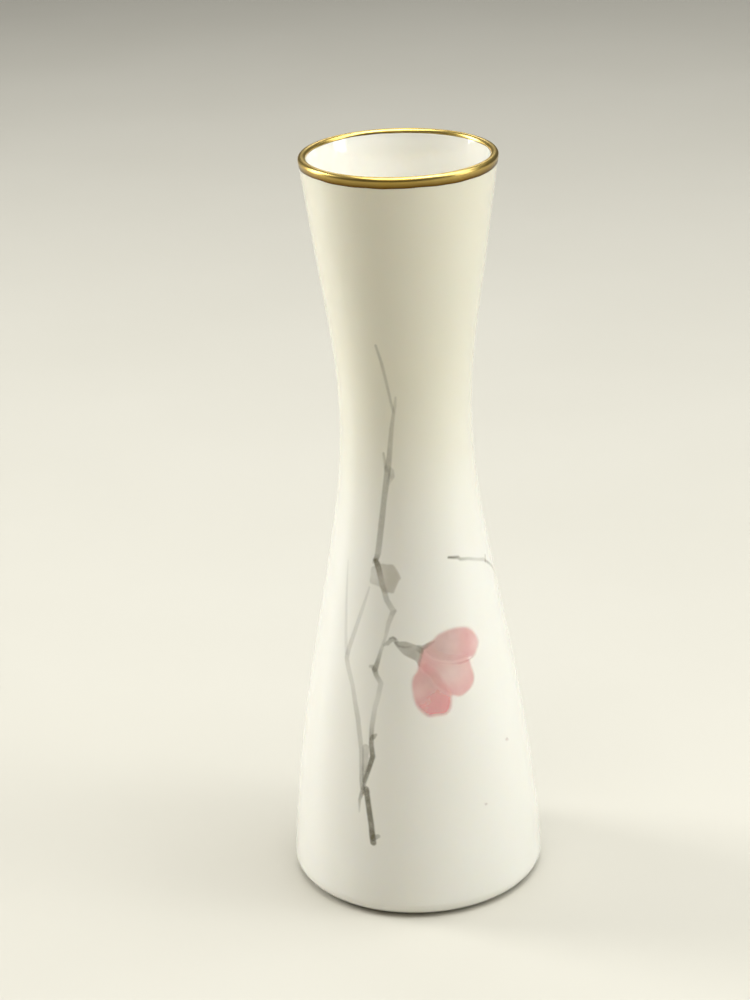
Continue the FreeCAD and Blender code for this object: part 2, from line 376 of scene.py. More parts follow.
floor_material, tree, output = new_material("pale_matt_table")
grain = add(tree, "ShaderNodeTexNoise", {"Scale": 60.0, "Detail": 3.0})
tone = add(tree, "ShaderNodeMixRGB", {"Fac": grain.outputs["Fac"], "Color1": linear("#C4C1B7"),
                                      "Color2": linear("#CAC7BE")})
surface = add(tree, "ShaderNodeBsdfPrincipled", {"Base Color": tone.outputs["Color"], "Roughness": 0.6})
tree.links.new(surface.outputs["BSDF"], output.inputs["Surface"])
floor_mesh = bpy.data.meshes.new("table_top")
half = 3.0
floor_mesh.from_pydata([(-half, -half, 0), (half, -half, 0), (half, half, 0), (-half, half, 0)],
                       [], [(0, 1, 2, 3)])
floor_mesh.materials.append(floor_material)
table_top = bpy.data.objects.new("table_top", floor_mesh)
table_top.location.z = -0.02 * MM
bpy.context.scene.collection.objects.link(table_top)

bpy.context.scene.view_settings.view_transform = "Standard"
world = bpy.data.worlds.new("soft_room")
world.use_nodes = True
bpy.context.scene.world = world
world.node_tree.nodes["Background"].inputs["Color"].default_value = linear("#F6F2E8")
world.node_tree.nodes["Background"].inputs["Strength"].default_value = 0.10

middle = (0, 0, 0.08)
panel("left_panel", (-0.76, 0.276, 0.343), middle, 0.28, 0.75, 5.8, "#FEFFFC")
panel("right_panel", (0.796, -0.14, 0.343), middle, 0.28, 0.75, 2.4, "#FCFFFC")
panel("right_high_panel", (0.475, 0.0, 0.903), middle, 0.7, 0.7, 5.0, "#FCFFFF")
panel("top_panel", (0.0, -0.0175, 1.08), middle, 0.7, 0.7, 8.2, "#FFFFFA")
panel("front_fill_panel", (0.0, -0.475, 0.903), middle, 0.7, 0.7, 1.2, "#FFF4DC")
panel("back_strip", (0.0, 0.82, 0.654), middle, 0.6, 0.15, 1.0, "#FFFFFF")

# %% [markdown]
# ## Glazed porcelain
#
# Fired porcelain is a white, slightly warm and slightly translucent body: light goes a millimetre or two
# into it and comes back softened. The glaze over it is clear glass with an IOR near 1.5, almost free of
# texture. What makes it look hand-made is small: a slow ripple from the mould, a finer ripple where
# the glaze flowed, colour that drifts by a shade, and the odd speck of iron from the clay.

# %% Material: glazed porcelain


def ripples(tree, place):
    """A slow ripple 22 mm long and a fainter one 2.5 mm long, as one bump."""
    slow = add(tree, "ShaderNodeTexNoise", {"Vector": place, "Scale": 1 / (22 * MM), "Detail": 1.0})
    fine = add(tree, "ShaderNodeTexNoise", {"Vector": place, "Scale": 1 / (2.5 * MM), "Detail": 2.0})
    faint = add(tree, "ShaderNodeMath", {0: fine.outputs["Fac"], 1: 0.12}, operation="MULTIPLY")
    both = add(tree, "ShaderNodeMath", {0: slow.outputs["Fac"], 1: faint.outputs["Value"]}, operation="ADD")
    bump = add(tree, "ShaderNodeBump", {"Height": both.outputs["Value"], "Strength": 0.35,
                                        "Distance": 0.4 * MM})
    return bump.outputs["Normal"]


def glazed_porcelain():
    """White porcelain under a clear, fully melted glaze."""
    material, tree, output = new_material("glazed_porcelain")
    coordinates = add(tree, "ShaderNodeTexCoord")
    place = coordinates.outputs["Object"]
    drift = add(tree, "ShaderNodeTexNoise", {"Vector": place, "Scale": 28.0, "Detail": 3.0,
                                             "Roughness": 0.55})
    # The outside of the neck is painted a shade creamier and darker than the belly: painted warm shade.
    up_wall = add(tree, "ShaderNodeSeparateXYZ", {"Vector": place}).outputs["Z"]
    outward = add(tree, "ShaderNodeVectorMath", {0: place, 1: (1, 1, 0)}, operation="MULTIPLY")
    facing = add(tree, "ShaderNodeVectorMath",
                 {0: outward.outputs["Vector"], 1: coordinates.outputs["Normal"]}, operation="DOT_PRODUCT")
    outside = add(tree, "ShaderNodeMapRange", {"Value": facing.outputs["Value"], "From Min": -2 * MM,
                                               "From Max": 8 * MM}).outputs["Result"]
    neck = add(tree, "ShaderNodeMapRange", {"Value": up_wall, "From Min": 66 * RISE,
                                            "From Max": 112 * RISE},
               interpolation_type="SMOOTHSTEP").outputs["Result"]
    cool, cream = (add(tree, "ShaderNodeMixRGB", {"Fac": drift.outputs["Fac"], "Color1": linear(thick),
                                                  "Color2": linear(thin)}).outputs["Color"]
                   for thick, thin in (("#F3F1E9", "#F9F8F2"), ("#F0ECD9", "#F7F4E4")))
    # Painted warm shade, strongest at the top of the neck and only on the outside.
    neck_painted_shade = add(tree, "ShaderNodeMath", {0: neck, 1: outside}, operation="MULTIPLY")
    white = add(tree, "ShaderNodeMixRGB", {"Fac": neck_painted_shade.outputs["Value"], "Color1": cool,
                                           "Color2": cream})
    # Iron specks up to 0.4 mm across, only a few on the whole vase.
    cells = add(tree, "ShaderNodeTexVoronoi", {"Vector": place, "Scale": 160.0, "Randomness": 1.0})
    dot = add(tree, "ShaderNodeMapRange", {"Value": cells.outputs["Distance"], "From Min": 0.018,
                                           "From Max": 0.03, "To Min": 1.0, "To Max": 0.0})
    rare = add(tree, "ShaderNodeSeparateColor", {"Color": cells.outputs["Color"]})
    chosen = add(tree, "ShaderNodeMath", {0: rare.outputs["Red"], 1: 0.93}, operation="GREATER_THAN")
    speck = add(tree, "ShaderNodeMath", {0: dot.outputs["Result"], 1: chosen.outputs["Value"]},
                operation="MULTIPLY")
    soft_speck = add(tree, "ShaderNodeMath", {0: speck.outputs["Value"], 1: 0.45}, operation="MULTIPLY")
    colour = add(tree, "ShaderNodeMixRGB", {"Fac": soft_speck.outputs["Value"],
                                            "Color1": white.outputs["Color"],
                                            "Color2": linear("#8A7A5E")})
    smear = add(tree, "ShaderNodeTexNoise", {"Vector": place, "Scale": 55.0, "Detail": 4.0})
    gloss = add(tree, "ShaderNodeMapRange", {"Value": smear.outputs["Fac"], "To Min": 0.05, "To Max": 0.11})
    surface = add(tree, "ShaderNodeBsdfPrincipled", {
        "Base Color": colour.outputs["Color"], "Roughness": gloss.outputs["Result"], "IOR": 1.5,
        "Subsurface Weight": 0.3, "Subsurface Radius": (1.0, 0.85, 0.65), "Subsurface Scale": 1.2 * MM,
        "Coat Weight": 0.5, "Coat Roughness": 0.03, "Coat IOR": 1.5,
        "Normal": ripples(tree, place)})
    tree.links.new(surface.outputs["BSDF"], output.inputs["Surface"])
    return material


GLAZED = glazed_porcelain()
print("material:", GLAZED.name)

# %% [markdown]
# ## Unglazed porcelain
#
# The foot ring is wiped clean before the firing so that the pot doesn't stick to the kiln shelf. Bare
# porcelain is matt, a little creamier than the glazed wall, and fine-grained like an eggshell. Years
# of being set down leave grey scuffs on it.

# %% Material: bare porcelain


def bare_porcelain():
    """Unglazed fired porcelain with a fine grain and grey table marks."""
    material, tree, output = new_material("bare_porcelain")
    place = add(tree, "ShaderNodeTexCoord").outputs["Object"]
    grain = add(tree, "ShaderNodeTexNoise", {"Vector": place, "Scale": 2500.0, "Detail": 4.0})
    marks = add(tree, "ShaderNodeTexNoise", {"Vector": place, "Scale": 220.0, "Detail": 6.0,
                                             "Roughness": 0.7})
    worn = add(tree, "ShaderNodeMapRange", {"Value": marks.outputs["Fac"], "From Min": 0.48,
                                            "From Max": 0.75, "To Min": 0.0, "To Max": 0.55})
    colour = add(tree, "ShaderNodeMixRGB", {"Fac": worn.outputs["Result"], "Color1": linear("#EAE5D8"),
                                            "Color2": linear("#B5AFA2")})
    bump = add(tree, "ShaderNodeBump", {"Height": grain.outputs["Fac"], "Strength": 0.4,
                                        "Distance": 0.05 * MM})
    surface = add(tree, "ShaderNodeBsdfPrincipled", {
        "Base Color": colour.outputs["Color"], "Roughness": 0.78, "IOR": 1.5,
        "Normal": bump.outputs["Normal"]})
    tree.links.new(surface.outputs["BSDF"], output.inputs["Surface"])
    return material


BARE = bare_porcelain()
print("material:", BARE.name)

# %% [markdown]
# ## Fired gold
#
# The gold is painted on as a dark resin while the pot turns slowly, and comes out of the kiln as a
# film of real metal. It mirrors the room, but the brush leaves fine lines that run round the lip,
# and the film is thinner and browner at its inner edge. The lower part of its outside is painted
# darker brown as well, as painted shade: a dark reflection painted onto the gold.

# %% Material: fired gold


def fired_gold():
    """Bright gold fired on the glaze, with brush lines round the lip, a browner inner edge and lower
    painted shade.
    """
    material, tree, output = new_material("fired_gold")
    place = add(tree, "ShaderNodeTexCoord").outputs["Object"]
    # Brush lines about 0.3 mm apart in height that run on for a centimetre or two round the lip.
    squash = add(tree, "ShaderNodeMapping", {"Vector": place, "Scale": (60.0, 60.0, 3500.0)})
    lines = add(tree, "ShaderNodeTexNoise", {"Vector": squash.outputs["Vector"], "Scale": 1.0,
                                             "Detail": 2.0})
    cloud = add(tree, "ShaderNodeTexNoise", {"Vector": place, "Scale": 180.0, "Detail": 3.0})
    metal = add(tree, "ShaderNodeMixRGB", {"Fac": cloud.outputs["Fac"], "Color1": linear("#E2BE58"),
                                           "Color2": linear("#EFD488")})
    # The edge mark darkens the gold towards brown: at the thin inner edge of the film, and as painted shade
    # over the lower outside.
    edge = add(tree, "ShaderNodeAttribute", attribute_name="edge")
    colour = add(tree, "ShaderNodeMixRGB", {"Fac": edge.outputs["Fac"], "Color1": metal.outputs["Color"],
                                            "Color2": linear("#5A3C08")})
    gloss = add(tree, "ShaderNodeMapRange", {"Value": lines.outputs["Fac"], "To Min": 0.2, "To Max": 0.38})
    bump = add(tree, "ShaderNodeBump", {"Height": lines.outputs["Fac"], "Strength": 0.12,
                                        "Distance": 0.04 * MM})
    surface = add(tree, "ShaderNodeBsdfPrincipled", {
        "Base Color": colour.outputs["Color"], "Metallic": 1.0, "Roughness": gloss.outputs["Result"],
        "Normal": bump.outputs["Normal"]})
    tree.links.new(surface.outputs["BSDF"], output.inputs["Surface"])
    return material


GOLD = fired_gold()
print("material:", GOLD.name)

# %% [markdown]
# ## The casting, its glaze and the glaze under the base
#
# The porcelain is one closed form a quarter of a millimetre inside the finished surface, and its bare
# ring reaches down to the table. The glaze is a closed skin over it. It lies two hundredths of a
# millimetre under the finished surface, which leaves room for the gold and the colours on top.

# %% Porcelain and glaze
SINK = 0.02 * MM
bevel = 0.08 * MM
hidden = 0.4 * MM

bare_ring = [(ring_inside + ring_edge, ring_edge / 2), (ring_inside + ring_edge, bevel),
             (ring_inside + ring_edge + bevel, 0), (ring_outside - 1.5 * bevel, 0),
             (ring_outside - bevel / 2, bevel), (ring_outside, ring_edge / 2)]
body_line = section(GLAZE)
body_line = body_line[:recess_end] + bare_ring + body_line[foot_start:]
piece("porcelain_body_surface", turn("porcelain_body_surface", body_line), BARE, "porcelain_body",
      slot="bisque_porcelain")

# The glaze ends at the foot, and its skin closes out of sight inside the porcelain.
closing = [(0, recess_height + hidden), (ring_inside, recess_height + hidden),
           (ring_inside + hidden, hidden), (ring_outside - SINK, hidden), (ring_outside, 3 * SINK)]
glaze_line = closing + section(SINK)[foot_start + 1:]
piece("glaze_coat_surface", turn("glaze_coat_surface", glaze_line), GLAZED, "glaze_coat",
      slot="clear_glaze")

under_line = section(SINK)[:foot_start] + section(GLAZE)[:foot_start][::-1]
piece("underside_glaze_surface", turn("underside_glaze_surface", under_line), GLAZED, "underside_glaze",
      slot="clear_glaze")

# %% [markdown]
# ## The gold band
#
# A steady hand still leaves a line that wanders by a tenth of a millimetre, so each ring of the band
# ends at its own height. The wander is a sum of a few waves that close up after one full turn.

# %% Gold over the lip
gold_inside = 0.8 * MM
gold_film = 0.06 * MM
film_share = 0.94
INNER_STEPS = 4
OUTER_STEPS = 8
INNER_FADE = 0.3 * MM
LOWER_SHADE_REACH = 1.9 * MM


def wander(angle, size, waves):
    """A hand's wander round the band, from (count, phase) waves that meet after one turn."""
    return size * sum(math.sin(count * angle + phase) / (i + 1) for i, (count, phase) in enumerate(waves))


def gold_band():
    """The film of gold from just inside the mouth, over the lip, to its lower edge outside."""
    turns = 2 * TURNS
    points, edge_and_shade_marks, faces = [], [], []
    for k in range(turns):
        angle = 2 * math.pi * k / turns
        low_out = gold_low + wander(angle, 0.09 * MM, ((2, 0.4), (5, 2.1), (11, 4.0), (23, 1.3)))
        low_in = height - gold_inside + wander(angle, 0.07 * MM, ((3, 1.9), (7, 0.2), (17, 3.1)))
        inside_top = lip_centre[1] + lip / 2 * math.sin(mouth_lean)
        outline = []
        for z in np.linspace(low_in, inside_top, INNER_STEPS + 1)[:-1]:
            outline.append(np.array([wall_radius(z) - lip / math.cos(mouth_lean), z]))
        outline += arc(lip_centre, lip / 2, 180 - math.degrees(mouth_lean), -math.degrees(mouth_lean),
                       LIP_STEPS)
        for z in np.linspace(wall_top[1], low_out, OUTER_STEPS + 1)[1:]:
            outline.append(np.array([wall_radius(z), z]))
        count = len(outline)
        for i, (radius, z) in enumerate(outline):
            inner_edge = 1 - np.linalg.norm(outline[i] - outline[0]) / INNER_FADE
            # The lower outside of the band is darkened towards brown over almost two millimetres: painted
            # shade, a dark reflection painted onto the gold.
            lower_painted_shade = 1.05 - np.linalg.norm(outline[i] - outline[-1]) / LOWER_SHADE_REACH
            points.append((radius * math.cos(angle), radius * math.sin(angle), z))
            edge_and_shade_marks.append(min(1.0, max(0.0, inner_edge, lower_painted_shade)))
        inner = [lip_centre + (p - lip_centre) * film_share for p in outline[INNER_STEPS:-OUTER_STEPS]]
        inner = [outline[0] + (gold_film, 0)] + inner + [outline[-1] - (gold_film, 0)]
        for radius, z in inner[::-1]:
            points.append((radius * math.cos(angle), radius * math.sin(angle), z))
            edge_and_shade_marks.append(0.0)
    ring = count + len(inner)
    for k in range(turns):
        here, there = k * ring, ((k + 1) % turns) * ring
        for i in range(ring):
            j = (i + 1) % ring
            faces.append((here + i, here + j, there + j, there + i))
    mesh = bpy.data.meshes.new("gold_band_surface")
    mesh.from_pydata(points, [], faces)
    mesh.attributes.new("edge", "FLOAT", "POINT").data.foreach_set("value", edge_and_shade_marks)
    mesh.update()
    return mesh


piece("gold_band_surface", gold_band(), GOLD, "gold_rim_band", slot="fired_gold")

# %% [markdown]
# ## Brushed colour
#
# The decoration is laid with a loaded brush on the fired glaze and sinks into it in a second firing.
# Each colour here is a thin patch of the wall. How much pigment lies at each of its points comes from
# the strokes: a distance to the path of the brush, against the width the brush had there, gives a
# line that swells, thins, and ends softly, which an image would only give at one size.

# %% Places on the wall
CELL = 0.12 * MM
SOFT = 0.2 * MM
TRACE = 0.004


def on_wall(angle, z, depth):
    """A point under the outside wall; the angle is in degrees from the front, positive to the right."""
    radius, turn_by = wall_radius(z) - depth, np.radians(angle)
    return np.stack([radius * np.sin(turn_by), -radius * np.cos(turn_by), z], axis=-1)


def wall_grid(points, margin):
    """Even angles and heights that cover some (angle, height in mm) points with a margin."""
    spots = np.array([p[:2] for p in points])
    low, high = spots.min(axis=0), spots.max(axis=0)
    widest = float(wall_radius(low[1] * RISE))
    side = math.degrees(margin / float(wall_radius(high[1] * RISE)))
    angles = np.arange(low[0] - side, high[0] + side, math.degrees(CELL / widest))
    heights = np.arange(low[1] * RISE - margin, high[1] * RISE + margin, CELL)
    return np.meshgrid(angles, heights)


def flat(angle, z, at_z):
    """Angle and height laid out flat in metres, true to size near one height."""
    return np.radians(angle) * float(wall_radius(at_z)), z


def fade(distance, soft):
    """One well inside a shape and nothing well outside, with a smooth step across its edge."""
    t = np.clip(0.5 - distance / (2 * soft), 0, 1)
    return t * t * (3 - 2 * t)


print("paint is laid out in cells of", CELL / MM, "mm")

# %% [markdown]
# A stroke is a row of points, each with its angle, height, width and strength. The strength is how
# much of the white it hides: a nearly dry brush hides a tenth, and a full drop of colour at the end of
# a stroke hides most of it.

# %% Pigment from strokes and from rounded patches
NEVER_ZERO = 1e-18


def stroke_ink(angle, z, stroke, soft=SOFT):
    """The pigment that one stroke leaves at each place."""
    ink = np.zeros_like(z)
    for (a0, z0, w0, s0), (a1, z1, w1, s1) in zip(stroke, stroke[1:]):
        middle = (z0 + z1) / 2 * RISE
        x, y = flat(angle, z, middle)
        x0, y0 = flat(a0, z0 * RISE, middle)
        x1, y1 = flat(a1, z1 * RISE, middle)
        long = (x1 - x0) ** 2 + (y1 - y0) ** 2
        along = np.clip(((x - x0) * (x1 - x0) + (y - y0) * (y1 - y0)) / long, 0, 1)
        gap = np.hypot(x - x0 - along * (x1 - x0), y - y0 - along * (y1 - y0))
        width = (w0 + (w1 - w0) * along) * MM
        ink = np.maximum(ink, (s0 + (s1 - s0) * along) * fade(gap - width / 2, np.minimum(soft, width)))
    return ink


def strokes_ink(angle, z, strokes, soft=SOFT):
    """Several strokes over each other: each one hides a share of what still shows."""
    bare = np.ones_like(z)
    for stroke in strokes:
        bare *= 1 - stroke_ink(angle, z, stroke, soft)
    return 1 - bare


def loop(outline, count=24):
    """Points of a smooth closed line through the outline, by four-point interpolation."""
    corners = np.array(outline)
    t = np.linspace(0, 1, count, endpoint=False)[:, None]
    runs = []
    for i in range(len(corners)):
        a, b, c, d = (corners[(i + k) % len(corners)] for k in (-1, 0, 1, 2))
        runs.append(b + 0.5 * t * (c - a + t * (2 * a - 5 * b + 4 * c - d + t * (3 * (b - c) + d - a))))
    return np.concatenate(runs)


def patch_gap(angle, z, outline):
    """The distance from each place to the edge of a rounded patch, less than nothing inside it."""
    line = loop(outline)
    middle = line[:, 1].mean() * RISE
    x, y = flat(angle, z, middle)
    edge_x, edge_y = flat(line[:, 0], line[:, 1] * RISE, middle)
    gap, inside = np.full_like(z, 1.0), np.zeros(z.shape, bool)
    for i in range(len(line)):
        x0, y0, x1, y1 = edge_x[i - 1], edge_y[i - 1], edge_x[i], edge_y[i]
        long = (x1 - x0) ** 2 + (y1 - y0) ** 2 + NEVER_ZERO
        along = np.clip(((x - x0) * (x1 - x0) + (y - y0) * (y1 - y0)) / long, 0, 1)
        gap = np.minimum(gap, np.hypot(x - x0 - along * (x1 - x0), y - y0 - along * (y1 - y0)))
        crosses = (y0 > y) != (y1 > y)
        inside ^= crosses & (x < x0 + (y - y0) * (x1 - x0) / (y1 - y0 + NEVER_ZERO))
    return np.where(inside, -gap, gap)


def dab(angle, z, place, radius):
    """A soft round pool of colour at an (angle, height in mm) place, one in its middle."""
    x, y = flat(angle, z, place[1] * RISE)
    x0, y0 = flat(place[0], place[1] * RISE, place[1] * RISE)
    return np.exp(-((x - x0) ** 2 + (y - y0) ** 2) / (radius * MM) ** 2)


print("a smooth loop through ten points has", len(loop([(0, 0)] * 10)), "points")

# %% [markdown]
# Only the cells that carry pigment are kept, so each patch of the mesh has the outline of its mark.
# The pigment, its greyness and the fine dark line along some edges are stored at the points of the
# mesh, where the material reads them.

# %% A painted patch of the wall


def painted(name, grid, depth, material, node, slot, **marks):
    """A thin patch at a depth in the wall, with its marks stored at its points."""
    angle, z = grid
    rows, columns = z.shape
    held = np.maximum(marks["ink"], marks.get("line", 0)) > TRACE
    keep = held[:-1, :-1] | held[1:, :-1] | held[:-1, 1:] | held[1:, 1:]
    corner = np.arange(rows * columns).reshape(rows, columns)
    quads = np.stack([corner[:-1, :-1], corner[:-1, 1:], corner[1:, 1:], corner[1:, :-1]], axis=-1)[keep]
    used, faces = np.unique(quads, return_inverse=True)
    points = on_wall(angle, z, depth).reshape(-1, 3)[used]
    mesh = bpy.data.meshes.new(name)
    mesh.from_pydata(points.tolist(), [], faces.reshape(-1, 4).tolist())
    for mark, values in marks.items():
        mesh.attributes.new(mark, "FLOAT", "POINT").data.foreach_set("value", values.reshape(-1)[used])
    mesh.update()
    body = piece(name, mesh, material, node, slot=slot)
    # The colour lies in the glaze, so it must not also darken the light that reaches the white below it.
    body.visible_shadow = body.visible_diffuse = body.visible_glossy = False
    return body


def paint(name, ink_colour, grey_colour, grain):
    """Colour sunk in the glaze: pigment that granulates, under the same gloss as the white around it."""
    material, tree, output = new_material(name)
    place = add(tree, "ShaderNodeTexCoord").outputs["Object"]
    # Pigment settles in grains of two tenths of a millimetre and in pools of one or two millimetres.
    grains = add(tree, "ShaderNodeTexNoise", {"Vector": place, "Scale": 5200.0, "Detail": 2.0})
    pools = add(tree, "ShaderNodeTexNoise", {"Vector": place, "Scale": 620.0, "Detail": 2.0})
    mixed = add(tree, "ShaderNodeMath", {0: grains.outputs["Fac"], 1: pools.outputs["Fac"]},
                operation="ADD")
    share = add(tree, "ShaderNodeMapRange", {"Value": mixed.outputs["Value"], "From Min": 0.6,
                                             "From Max": 1.4, "To Min": 1 - grain, "To Max": 1 + grain})
    ink = add(tree, "ShaderNodeAttribute", attribute_name="ink")
    grey = add(tree, "ShaderNodeAttribute", attribute_name="grey")
    line = add(tree, "ShaderNodeAttribute", attribute_name="line")
    laid = add(tree, "ShaderNodeMath", {0: ink.outputs["Fac"], 1: share.outputs["Result"]},
               operation="MULTIPLY")
    cover = add(tree, "ShaderNodeMath", {0: laid.outputs["Value"], 1: line.outputs["Fac"]},
                operation="MAXIMUM", use_clamp=True)
    wash = add(tree, "ShaderNodeMixRGB", {"Fac": grey.outputs["Fac"], "Color1": linear(ink_colour),
                                          "Color2": linear(grey_colour)})
    colour = add(tree, "ShaderNodeMixRGB", {"Fac": line.outputs["Fac"], "Color1": wash.outputs["Color"],
                                            "Color2": linear(BRANCH_INK)})
    surface = add(tree, "ShaderNodeBsdfPrincipled", {
        "Base Color": colour.outputs["Color"], "Roughness": 0.08, "IOR": 1.5,
        "Alpha": cover.outputs["Value"], "Coat Weight": 0.5, "Coat Roughness": 0.03,
        "Coat IOR": 1.5, "Normal": ripples(tree, place)})
    tree.links.new(surface.outputs["BSDF"], output.inputs["Surface"])
    print("material:", name)
    return material


BRANCH_INK = "#554E2F"
GREY_PAINT = paint("grey_branch_colour", BRANCH_INK, "#6E6A55", 0.16)
STALK_PAINT = paint("dark_stalk_colour", BRANCH_INK, "#7A6B55", 0.14)
PINK_PAINT = paint("pink_petal_colour", "#DC4256", "#A85A54", 0.08)
LEAF_PAINT = paint("taupe_leaf_colour", "#80704A", "#767056", 0.08)

# %% [markdown]
# ## The branch
#
# One long stroke runs between the thin tip near the neck and the thick end near the foot, and short
# ones give it thorns and knots. The brush pauses at each knot, where the colour is darker, and skips
# lightly between them.

# %% Main branch
MAIN_BRANCH = [
    [(-21.5, 116.5, 0.5, 0.3), (-18, 113, 0.6, 0.3), (-12, 105, 0.5, 0.3), (-10, 103, 0.6, 0.3),
     (-12.5, 99.5, 0.8, 0.35), (-15, 94, 1.0, 0.4), (-16.5, 91.5, 1.3, 0.4), (-20, 85, 1.1, 0.45),
     (-22, 80, 1.2, 0.45), (-24, 74.5, 1.2, 0.4), (-25.5, 73, 1.0, 0.75), (-24.5, 72.5, 1.2, 0.8),
     (-23, 71.5, 1.2, 0.55), (-20, 68.5, 1.0, 0.3), (-16.5, 65.5, 1.1, 0.35), (-12, 63.5, 1.1, 0.25),
     (-15, 61, 0.9, 0.25), (-17, 58, 0.6, 0.2), (-19.5, 55.5, 0.7, 0.3), (-21.5, 53, 0.9, 0.55),
     (-23, 51.5, 1.2, 0.6), (-22, 50.5, 1.0, 0.45), (-19, 49, 1.0, 0.25), (-20.5, 46, 1.0, 0.15),
     (-22, 44, 1.0, 0.15), (-23.5, 40, 1.0, 0.35), (-23.5, 36.5, 1.0, 0.7), (-22.5, 34, 1.1, 0.8),
     (-25, 30.5, 0.9, 0.8), (-26.5, 28.5, 0.8, 0.6), (-27, 27, 0.7, 0.4)],
    [(-8, 106, 0.4, 0.2), (-9, 104, 0.6, 0.25), (-10, 103, 0.6, 0.1)],
    [(-20, 94.5, 0.4, 0.35), (-19, 93, 0.6, 0.3), (-18, 91, 0.7, 0.2)],
    [(-16.5, 91.5, 1.2, 0.1), (-14, 91, 1.3, 0.25), (-13.5, 90, 1.2, 0.3), (-16.5, 88.5, 0.8, 0.1)],
    [(-27.5, 72.5, 0.4, 0.3), (-26.5, 73, 0.8, 0.45), (-25.5, 73, 0.9, 0.35)],
    [(-12.5, 63, 1.0, 0.1), (-10.5, 63.5, 0.6, 0.2)],
    [(-26, 52, 0.6, 0.3), (-24.5, 52, 0.8, 0.4), (-23, 51.5, 0.9, 0.2)],
    [(-23.5, 37.5, 0.8, 0.4), (-22.5, 38, 1.0, 0.55), (-21, 38.5, 0.5, 0.45)],
    [(-26.5, 26, 0.8, 0.45), (-25, 26.5, 1.1, 0.4)],
    [(-25.5, 27, 1.2, 0.7), (-24.5, 24.5, 1.2, 0.8), (-22.5, 19.5, 1.2, 0.8), (-22, 17.5, 1.3, 0.85),
     (-21.5, 16, 1.3, 0.75)],
    [(-21.5, 17, 1.3, 0.55), (-19, 17.5, 0.8, 0.45)],
]
grid = wall_grid([p for stroke in MAIN_BRANCH for p in stroke], 0.9 * MM)
painted("main_branch_paint", grid, 0.010 * MM, GREY_PAINT, "painted_main_branch", "grey_branch_paint",
        ink=strokes_ink(*grid, MAIN_BRANCH), grey=dab(*grid, (-18, 92), 14))

# %% [markdown]
# The side branch is fainter, because it is meant to lie behind. Near the foot the two run together in
# a thin grey wash. A last twig starts dark and runs out as a hair line round the right of the belly.

# %% Side branch and right twig
SIDE_BRANCH = [
    [(-29.5, 67.5, 0.4, 0.15), (-35, 62, 0.8, 0.2), (-42, 54.5, 1.0, 0.25), (-43, 52.5, 1.1, 0.3),
     (-41.5, 51, 1.2, 0.2), (-37, 47.5, 1.0, 0.2), (-32, 41, 1.1, 0.3), (-29, 35, 1.0, 0.3),
     (-28.5, 31.5, 1.0, 0.35), (-28, 28.5, 1.1, 0.5), (-27.5, 26.5, 0.9, 0.6), (-29, 24.5, 0.6, 0.5),
     (-29, 22, 0.3, 0.2)],
    [(-50.5, 71.5, 0.3, 0.1), (-49, 66, 0.6, 0.15), (-45.5, 57, 0.8, 0.15), (-43.5, 53.5, 1.0, 0.15)],
    [(-26.5, 35.5, 1.5, 0.3), (-26.5, 33.5, 1.4, 0.35), (-27, 31, 1.0, 0.4), (-27, 28.5, 0.7, 0.35)],
]
grid = wall_grid([p for stroke in SIDE_BRANCH for p in stroke], 0.8 * MM)
painted("side_branch_paint", grid, 0.007 * MM, GREY_PAINT, "painted_side_branch", "grey_branch_paint",
        ink=strokes_ink(*grid, SIDE_BRANCH), grey=0.6 * np.ones_like(grid[0]))

RIGHT_TWIG = [
    [(29, 73, 0.4, 0.85), (37, 72.5, 0.6, 0.65), (39, 72, 0.6, 0.5), (46.5, 71.5, 0.6, 0.35),
     (55.5, 70.5, 0.6, 0.25), (65, 69.5, 0.7, 0.3), (67, 69, 0.6, 0.5), (72, 68, 0.5, 0.55),
     (78.5, 66.5, 0.5, 0.5), (85, 64, 0.4, 0.45), (94, 61, 0.3, 0.2)],
    [(67, 69, 0.4, 0.45), (68.5, 70, 0.4, 0.45)],
]
grid = wall_grid([p for stroke in RIGHT_TWIG for p in stroke], 0.6 * MM)
painted("right_twig_paint", grid, 0.010 * MM, GREY_PAINT, "painted_right_twig", "grey_branch_paint",
        ink=strokes_ink(*grid, RIGHT_TWIG), grey=0.2 * np.ones_like(grid[0]))

# %% [markdown]
# ## The flower
#
# The stalk leaves the branch at a knob and opens into a calyx, laid with darker and thicker colour. A
# dark streak follows its upper edge, and the last dark drop sits where the petals begin.

# %% Stalk and calyx
CALYX = ((-11, 57.5), (-8.5, 57.5), (-4, 57.5), (0.5, 57), (4.5, 56.5), (6.5, 56), (6, 55), (4.5, 53.5),
         (3.5, 52.5), (2, 53.5), (0, 54), (-3, 54.5), (-5.5, 55), (-8.5, 56), (-11, 57))
STALK = [
    [(-17.4, 56.6, 0.4, 0.2), (-15.4, 57.0, 0.8, 0.38), (-13.2, 57.8, 0.9, 0.46), (-11.4, 57.9, 0.9, 0.46),
     (-9.8, 57.5, 0.8, 0.3)],
    [(-14.0, 58.0, 0.35, 0.3), (-12.1, 58.3, 0.4, 0.42), (-10.3, 57.9, 0.4, 0.36)],
    [(-10.4, 57.2, 0.4, 0.3), (-8.4, 56.6, 0.45, 0.4), (-5.0, 56.4, 0.4, 0.32), (-1.0, 56.5, 0.35, 0.16)],
    [(2.6, 55.9, 0.5, 0.2), (4.6, 55.6, 0.9, 0.45), (5.6, 55.5, 0.7, 0.36)],
    [(3.6, 56.5, 0.6, 0.3), (6.4, 56.2, 0.9, 0.44), (8.6, 56.6, 0.7, 0.44), (10.4, 56.9, 0.5, 0.4),
     (13.0, 57.2, 0.3, 0.15)],
]
grid = wall_grid([p for stroke in [*STALK, CALYX] for p in stroke], 0.9 * MM)
flooded = fade(patch_gap(*grid, CALYX), 0.2 * MM) * (0.44 + 0.1 * dab(*grid, (0, 54.6), 1.4))
